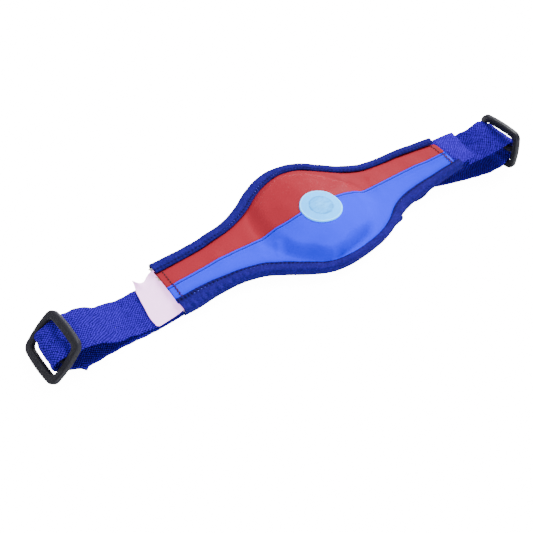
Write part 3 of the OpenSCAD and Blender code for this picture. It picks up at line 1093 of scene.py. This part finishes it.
def badge():
    """Thin round badge with a narrow rim and faint rings."""
    radii = np.concatenate([np.linspace(0.02, 0.9, 40), np.linspace(0.91, 1.0, 10)]) * BADGE_R
    turns = 96
    a = np.linspace(0, 2 * np.pi, turns, endpoint=False)
    r = radii[:, None]
    x = BADGE_X + r * np.cos(a)[None, :]
    y = BADGE_Y + r * np.sin(a)[None, :]
    t = r / BADGE_R
    ground = np.minimum(front_z(x, y), front_z(np.full_like(x, BADGE_X), np.full_like(y, BADGE_Y)) + 0.4)
    rim = bell(t - 0.955, 0.022)
    ring = bell(t - 0.56, 0.03)
    button = np.exp(-((t / 0.3) ** 4))
    worn = waves(x + 0.4 * y, (0.05, 5.3, 0.2)) * waves(y - 0.3 * x, (1.0, 4.1, 1.0)) * (t < 0.85)
    top = ground + 0.95 + 0.16 * rim - 0.14 * ring + 0.14 * button + worn
    top = np.where(t > 0.985, top - 0.35, top)
    low = ground - 0.1
    pale = clamp01(0.9 * rim + 0.12 * button)
    dull = clamp01(0.9 * ring + 0.5 * (t < 0.54))
    points = np.concatenate([joined(x, y, top), joined(x, y, low)[::-1]])
    flow = np.repeat(joined(dull, pale, dull), turns, 1)
    flow = np.concatenate([flow, flow[::-1]])
    faces = capped_faces(len(points), turns)
    piece = add_mesh("badge", points, faces, badge_plastic, "belt", flow)
    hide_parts("round_badge")


badge()


# ---- strap


CLOSURE_TILT = math.radians(11.5)
TAB_ROOT_Z = 18.8
TAB_REACH = 15.4
TAB_HALF = 17.8


def closure_z(dx):
    """Middle of the strap under the closure tab, dx beyond the pad's end."""
    return TAB_ROOT_Z - 4.7 + dx * math.tan(CLOSURE_TILT)


LZ = LEFT_BAR[2]
RZ = RIGHT_BAR[2]


def beside(bar, points):
    """Places of route points given by their distance along X from a slide's bar."""
    return [(bar[0] + dx, z) for dx, z in points]


# Middle of the strap's thickness in X and Z, from under the label round the left slide
LEFT_ROUTE = [(LEFT_END + 25, TOP_Z), (LEFT_END + 10, TOP_Z)] + beside(
    LEFT_BAR,
    [(67, TOP_Z), (54, TOP_Z + 0.4), (43, LZ - 6.5), (33, LZ - 1.8), (22, LZ + 1.8), (10, LZ + 3.6),
     (1, LZ + 4), (-4.6, LZ + 2.2), (-6.8, LZ - 1.3), (-5.8, LZ - 4.8), (-1.4, LZ - 8.6),
     (6, BACK_Z + 1.2), (14, BACK_Z + 0.1), (21, BACK_Z), (28, BACK_Z)],
)
# And from under the pad round the right slide, to its end under the tab
RIGHT_ROUTE = beside(
    RIGHT_BAR,
    [(-34, BACK_Z), (-24, BACK_Z), (-15, BACK_Z + 0.2), (-9, BACK_Z + 1.2), (-4.4, BACK_Z + 3.2),
     (-1.8, RZ - 11.4), (1.6, RZ - 10), (4.6, RZ - 5), (4.8, RZ + 3), (2, RZ + 7.2), (-3.5, RZ + 9.1),
     (-9.5, RZ + 8.9), (-15.5, RZ + 6.4), (-21.5, RZ + 2.8)],
) + [(RIGHT_END + dx, closure_z(dx)) for dx in (19.5, 16, 12, 8)]


# Far and near edges of the strap's upper and lower runs, from its middle line
top_left_far = through(
    [(-225, 13.4), (-212, 13.4), (-207, 15.4), (-203, 16.4), (-199, 16.8), (-191, 17.9),
     (-187, 17.2), (-181, 14.9), (-177, 15.8), (-172, 16.8), (-164, 17.4), (-150, 18), (-105, 19)]
)
top_left_near = through(
    [(-225, -18.3), (-212, -18.3), (-204, -18.7), (-196, -18.6), (-188, -19.7), (-180, -21.2),
     (-170, -19.4), (-158, -19.7), (-150, -20.4), (-130, -19.6), (-105, -19)]
)
back_far = through(
    [(-225, 13.4), (-214, 13.6), (-204, 17), (-150, 17), (-120, 18.6), (-80, 19), (50, 19),
     (75, 15.8), (88, 16), (100, 20), (106, 22.6), (113, 22), (132, 20.2), (152, 19.6), (160, 19.6),
     (167, 17), (173, 13.8), (184, 12.8)]
)
back_near = through(
    [(-225, -18.3), (-216, -18.3), (-211, -19.4), (-207, -21), (-200, -21.6), (-190, -20.8),
     (-148, -21.4), (-120, -19.8), (-80, -19), (50, -19), (68, -21.6), (78, -22.4), (87, -22.2),
     (95, -20), (101, -17), (106, -14.8), (113, -15.7), (122, -16.9), (132, -17.8), (142, -18.4),
     (152, -18.4), (160, -17.8), (167, -16.8), (173, -17.2), (184, -18.3)]
)
top_right_far = through(
    [(137, 17.7), (148, 18), (152, 18), (156, 16.6), (159, 15.9), (163, 16.2), (167, 17.2),
     (171, 17), (175, 13.8), (184, 12.8)]
)
top_right_near = through(
    [(137, -16.5), (142, -16), (146, -15.8), (151, -16.3), (157, -17.5), (164, -17.5), (172, -16.8),
     (184, -18.3)]
)


def strap():
    """One length of webbing, over and round the left slide, under the pad and round the right one."""
    route = np.concatenate([smooth_points(LEFT_ROUTE, 8), smooth_points(RIGHT_ROUTE, 8)])
    route[:, 1] = np.maximum(route[:, 1], BACK_Z)
    line, at = even_line(route, STRIP_STEP)
    d = np.gradient(line, axis=0)
    d /= np.linalg.norm(d, axis=1, keepdims=True)
    x, z, at = line[:, :1], line[:, 1:], at[:, None]
    inx, inz = -d[:, 1:], d[:, :1]
    run = np.arange(len(at))[:, None]
    top_left, top_right = run < np.argmin(x), run > np.argmax(x)
    far = np.where(top_left, top_left_far(x), np.where(top_right, top_right_far(x), back_far(x)))
    near = np.where(top_left, top_left_near(x), np.where(top_right, top_right_near(x), back_near(x)))
    half = (far - near) / 2
    gather = clamp01((STRAP_HALF - half) / (STRAP_HALF - 15))
    rib = np.abs(np.sin(np.pi * at / PICK))
    v = np.linspace(-1, 1, 41)
    across = v * (half + 0.1 * rib - 0.25)
    loose = (1 - gather) * ((x < -150) | (x > 140))
    wavy_far = waves(at, (0.12, 23, 1.0), (0.18, 9, 0.3)) * clamp01(v)
    wavy_near = waves(at, (0.12, 29, 0.2), (0.2, 11, 2.3)) * clamp01(-v)
    y = drift(x) + (far + near) / 2 + across + loose * (wavy_far + wavy_near)
    # By the left slide: the near edge of the lower run sticks out, the upper run dips and curls
    pulled = bell(x + 205.5, 1.5) * clamp01(-v * 4 - 3)
    hollow = bell(x + 208, 5) * bell(v - 0.1, 0.4)
    far_rise = bell(x + 211, 6) * clamp01(v) ** 2
    y = y + np.where(top_left, 0.5 * far_rise, -2.2 * pulled)
    # The webbing bulges where it is slack and off the floor, but not right beside a slide
    slack = clamp01((z - BACK_Z) / 6) * (0.5 + 0.5 * gather) * (1 - 0.85 * ease((x - 170) / 5))
    slack = slack * np.where(top_right, ease((x - 141) / 8), 1)
    crease = 0.45 * np.sin(v * 5.2 + at * 0.21) + 0.25 * np.sin(v * 9.5 - at * 0.33 + 1.4)
    around_bar = np.exp(-(((x - LEFT_BAR[0] + 4) / 5) ** 4))
    bulge = slack * (0.8 * (0.7 + crease) - 0.6 * around_bar * np.abs(v) ** 6)
    bulge = bulge + 0.9 * top_left * (far_rise - hollow)
    twist = top_right * 1.5 * bell(x - 164, 9) * v
    px = x - inx * bulge
    pz = np.maximum(z - inz * bulge + twist, BACK_Z)
    thick = STRAP_T / 2 * np.sqrt(np.clip(1 - np.abs(v) ** 30, 0, 1)) + 0.04 * rib
    top, low = (joined(px + inx * t, y, pz + inz * t) for t in (thick, -thick))
    flow = both_faces(joined(at, across, 0))
    piece = tube_grid("strap", sheet_solid(top, low), strap_webbing, "belt", flow)
    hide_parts("waist_strap")


strap()


# ---- label and tab


# Far and near edges of the label, and how far each part of its free edge reaches
label_far = through([(0, 23.5), (0.2, 23.8), (0.42, 21.6), (0.56, 18.9), (0.8, 19.2), (1, 23.4)])
label_near = through([(0, -20.3), (0.5, -21.3), (1, -21.8)])
label_reach = through(
    [(-1, 19.4), (-0.95, 20.8), (-0.85, 21.2), (0, 20.2), (0.6, 18.4), (0.9, 17.2), (1, 17.4)]
)


def label():
    """Satin label, sewn in under the panels' end and curled at its far corner."""
    u = np.linspace(0, 1, 56)
    v = np.linspace(-1, 1, 90)
    uu, vv = np.meshgrid(u, v, indexing="ij")
    low, high = label_near(uu), label_far(uu)
    y = low + (high - low) * (vv + 1) / 2
    x = LEFT_END + 1.6 - uu * (label_reach(vv) + 1.6)
    out = LEFT_END + 1.6 - x
    far = clamp01((vv - 0.55) / 0.45)
    z = PAD_Z + 3.9 - 0.9 * ease(out / 5) - 1.6 * uu + 0.2 * np.sin(vv * 5 + 1) * uu
    z = z + 0.18 * np.sin(vv * 11 + uu * 4) * uu + far**2 * (2.6 * uu**2 + 0.9 * np.sin(uu * 9 + 0.4) * uu)
    x = x + 1.3 * far**2 * np.sin(uu * 7) * uu
    rings = thin(x, y, z, z - 0.28)
    piece = tube_grid("label_sheet", rings, label_satin, None, both_faces(joined(x, y, 0)))
    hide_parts("care_label")
    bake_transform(piece)


label()


def tab_grid(u, v):
    """Places on the tab, u beyond the pad's end and v across it, with its slanted end."""
    x = RIGHT_END + u + 0.22 * v * clamp01(u / TAB_REACH)
    y = mid(x) + v
    z = TAB_ROOT_Z + 0.3 + u * math.tan(CLOSURE_TILT) - 1.2 * ease((1.5 - u) / 4)
    return x, y, z


def tab():
    """Short webbing tab that covers the strap's end, turned under at its own end."""
    u = np.concatenate([np.linspace(-3, TAB_REACH - 1.2, 44), np.linspace(TAB_REACH - 1.1, TAB_REACH, 6)])
    v = np.linspace(-1, 1, 33)
    uu, vv = np.meshgrid(u, v, indexing="ij")
    x, y, z = tab_grid(uu, vv * TAB_HALF)
    rounded = np.sqrt(clamp01(1 - ((uu - TAB_REACH + 1.2) / 1.2).clip(0) ** 2 * 0.75))
    crown = 0.8 * np.sqrt(np.clip(1 - np.abs(vv) ** 30, 0, 1)) * rounded
    thick = 0.55 * ease((uu - TAB_REACH + 4.5) / 1.0) * (np.abs(vv) < 0.99)
    z = z - 0.8 + 0.18 * np.sin(vv * 4 + uu * 0.4) * clamp01(uu / 6)
    flow = both_faces(joined(uu, vv * TAB_HALF, 0))
    rings = thin(x, y, z + crown, z - crown - thick)
    piece = tube_grid("closure_webbing", rings, tab_webbing, None, flow)
    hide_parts("closure_tab")
    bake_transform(piece)


def patch(name, node, body, low, high, material):
    """Hook or loop patch between the tab and the strap's end, following the tab's slant."""
    uu, vv = np.meshgrid(np.linspace(1.6, 9.4, 14), np.linspace(-13.2, 13.2, 24), indexing="ij")
    x, y, z = tab_grid(uu, vv)
    piece = tube_grid(name, thin(x, y, z + high, z + low), material, body)
    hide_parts(node)


tab()
patch("hook_strip", "hook_patch", "tab", -2.7, -1.65, hook_tape)
patch("loop_strip", "loop_patch", "belt", -3.75, -2.85, loop_tape)


# ---- slides


def corner_path(length, width, r, count, bow):
    """Points round a rectangle with round corners and slightly bowed sides, as many to each corner."""
    signs = ((1, 1), (-1, 1), (-1, -1), (1, -1))
    corners = [(sx * (length / 2 - r), sy * (width / 2 - r)) for sx, sy in signs]
    arc = count // 8
    out = []
    for k in range(4):
        cx, cy = corners[k]
        ex, ey = corners[(k + 1) % 4]
        for q in range(arc):
            a = math.pi / 2 * (k + q / (arc - 1))
            out.append((cx + r * math.cos(a), cy + r * math.sin(a)))
        for q in range(1, arc + 1):
            t = q / (arc + 1)
            swell = r + bow * 4 * t * (1 - t)
            out.append((cx + (ex - cx) * t + swell * math.cos(a), cy + (ey - cy) * t + swell * math.sin(a)))
    return np.array(out)


def turned(points, axis, degrees):
    """Points turned about an axis through the middle: 0, 1 or 2 for X, Y or Z."""
    a = math.radians(degrees)
    p, q = ((1, 2), (2, 0), (0, 1))[axis]
    out = points.copy()
    out[:, p] = points[:, p] * math.cos(a) - points[:, q] * math.sin(a)
    out[:, q] = points[:, p] * math.sin(a) + points[:, q] * math.cos(a)
    return out


ROUND_R = 1.25
BAR_RINGS, BAR_SIDES = 30, 24


def slide(name, body, centre, tilt, yaw, roll, node):
    """Three-bar slide: a rounded frame with a round bar across its middle."""
    count = 160
    outer = corner_path(SLIDE_H + 0.2, SLIDE_W + 1.4, 6.8, count, 0.8)
    inner = corner_path(2 * (CENTRE_BAR_R + SLOT_H) + 0.2, SLOT_W + 0.2, 4.2, count, 0.3)
    across = outer - inner
    width = np.linalg.norm(across, axis=1, keepdims=True)
    # Section of the frame: four rounded corners
    turn = math.pi / 2 * (np.arange(4)[:, None] + np.linspace(0, 1, 6))
    cx, cz = np.repeat([(1, -1, -1, 1), (1, 1, -1, -1)], 6, axis=1)
    side = cx * (width / 2 - ROUND_R) + ROUND_R * np.cos(turn.ravel())
    high = cz * (SLIDE_T / 2 + 0.4 - ROUND_R) + ROUND_R * np.sin(turn.ravel())
    flat = ((outer + inner) / 2)[:, None] + (across / width)[:, None] * side[..., None]
    ring = joined(flat[..., 0], flat[..., 1], high)
    y = np.linspace(-SLOT_W / 2 - 1.8, SLOT_W / 2 + 1.8, BAR_RINGS)[:, None]
    r = CENTRE_BAR_R - 0.9 * ease((abs(y) - SLOT_W / 2 + 3.5) / 3)
    a = np.linspace(0, 2 * np.pi, BAR_SIDES, endpoint=False)
    bar = joined(r * np.cos(a), y, -0.98 * r * np.sin(a))
    points = np.concatenate([ring.reshape(-1, 3), bar.reshape(-1, 3)])
    points = turned(turned(turned(points, 2, roll), 1, -tilt), 2, yaw) + np.array(centre)
    faces = grid_faces(*side.shape, wrap_rows=True, wrap_cols=True, flip=True)
    faces += capped_faces(BAR_RINGS, BAR_SIDES, side.size)
    piece = add_mesh(name, points, faces, slide_plastic, body)
    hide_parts(node)


# The slides hang a little askew on the strap
left_centre = np.add(LEFT_BAR, (-0.6, -2.7, 0.1))
right_centre = np.add(RIGHT_BAR, (0, -2.9, 0.2))
slide("slide_left", "left_slide", left_centre, LEFT_TILT + 1.4, 3.5, 0.8, "left_slide")
slide("slide_right", "right_slide", right_centre, RIGHT_TILT + 4.0, -3.0, 4.5, "right_slide")


# ---- studio


# Brightness that the camera sees as plain white
WHITE = 14.0


def for_camera(tree, plain, seen):
    """Shows one shader to the camera and the other to every other ray."""
    path = tree.nodes.new("ShaderNodeLightPath")
    mix = tree.nodes.new("ShaderNodeMixShader")
    tree.links.new(path.outputs["Is Camera Ray"], mix.inputs[0])
    tree.links.new(plain, mix.inputs[1])
    tree.links.new(seen, mix.inputs[2])
    return mix.outputs[0]


def floor():
    """Pale floor that the camera sees as white, with only the object's shadow on it."""
    n = Nodes("floor_paint")
    base = n.mix(n.noise(60, 2, 0.5), (0.93, 0.93, 0.93), (0.95, 0.95, 0.95))
    n.finish(base, 0.9, None, 0.0)
    glow = n.node("Emission", {"Strength": WHITE}).outputs[0]
    lit = n.bsdf.outputs[0]
    n.put(for_camera(n.tree, lit, n.node("AddShader", {0: lit, 1: glow}).outputs[0]), n.out.inputs[0])
    steps = 12
    line = np.linspace(-6000, 6000, steps + 1)
    points = joined(*np.meshgrid(line, line, indexing="ij"), 0)
    add_mesh("floor", points, grid_faces(steps + 1, steps + 1), n.mat)


def aimed(name, data, place, target):
    """Sets a light or a camera at a place and turns it towards a target."""
    obj = bpy.data.objects.new(name, data)
    obj.location = place
    obj.rotation_euler = (Vector(target) - Vector(place)).to_track_quat("-Z", "Y").to_euler()
    bpy.context.scene.collection.objects.link(obj)
    return obj


def area_light(name, place, size, power):
    light = bpy.data.lights.new(name, "AREA")
    light.shape = "RECTANGLE"
    light.size, light.size_y = size
    light.energy = power
    aimed(name, light, place, (0, 0, 0))


floor()
area_light("key", (1.25, 0.35, 1.15), (1.1, 1.1), 108)
area_light("fill", (-0.7, 0.9, 1.2), (1.4, 1.2), 20)
area_light("front_fill", (-0.35, -1.3, 0.45), (1.0, 0.6), 19)

world = bpy.data.worlds.new("studio")
world.use_nodes = True
sky = world.node_tree
daylight = sky.nodes["Background"]
backdrop = sky.nodes.new("ShaderNodeBackground")
for background, strength in ((daylight, 0.76), (backdrop, WHITE)):
    background.inputs[0].default_value = (1, 1, 1, 1)
    background.inputs[1].default_value = strength
sky_shader = for_camera(sky, daylight.outputs[0], backdrop.outputs[0])
sky.links.new(sky_shader, sky.nodes["World Output"].inputs[0])
bpy.context.scene.world = world

camera = bpy.data.cameras.new("camera")
camera.lens = 48.26
camera.sensor_width = 36
camera.clip_start = 0.01
camera_object = aimed("camera", camera, (-0.2582, -0.3054, 0.3986), (-0.0555, -0.0152, 0.0))
bpy.context.scene.camera = camera_object
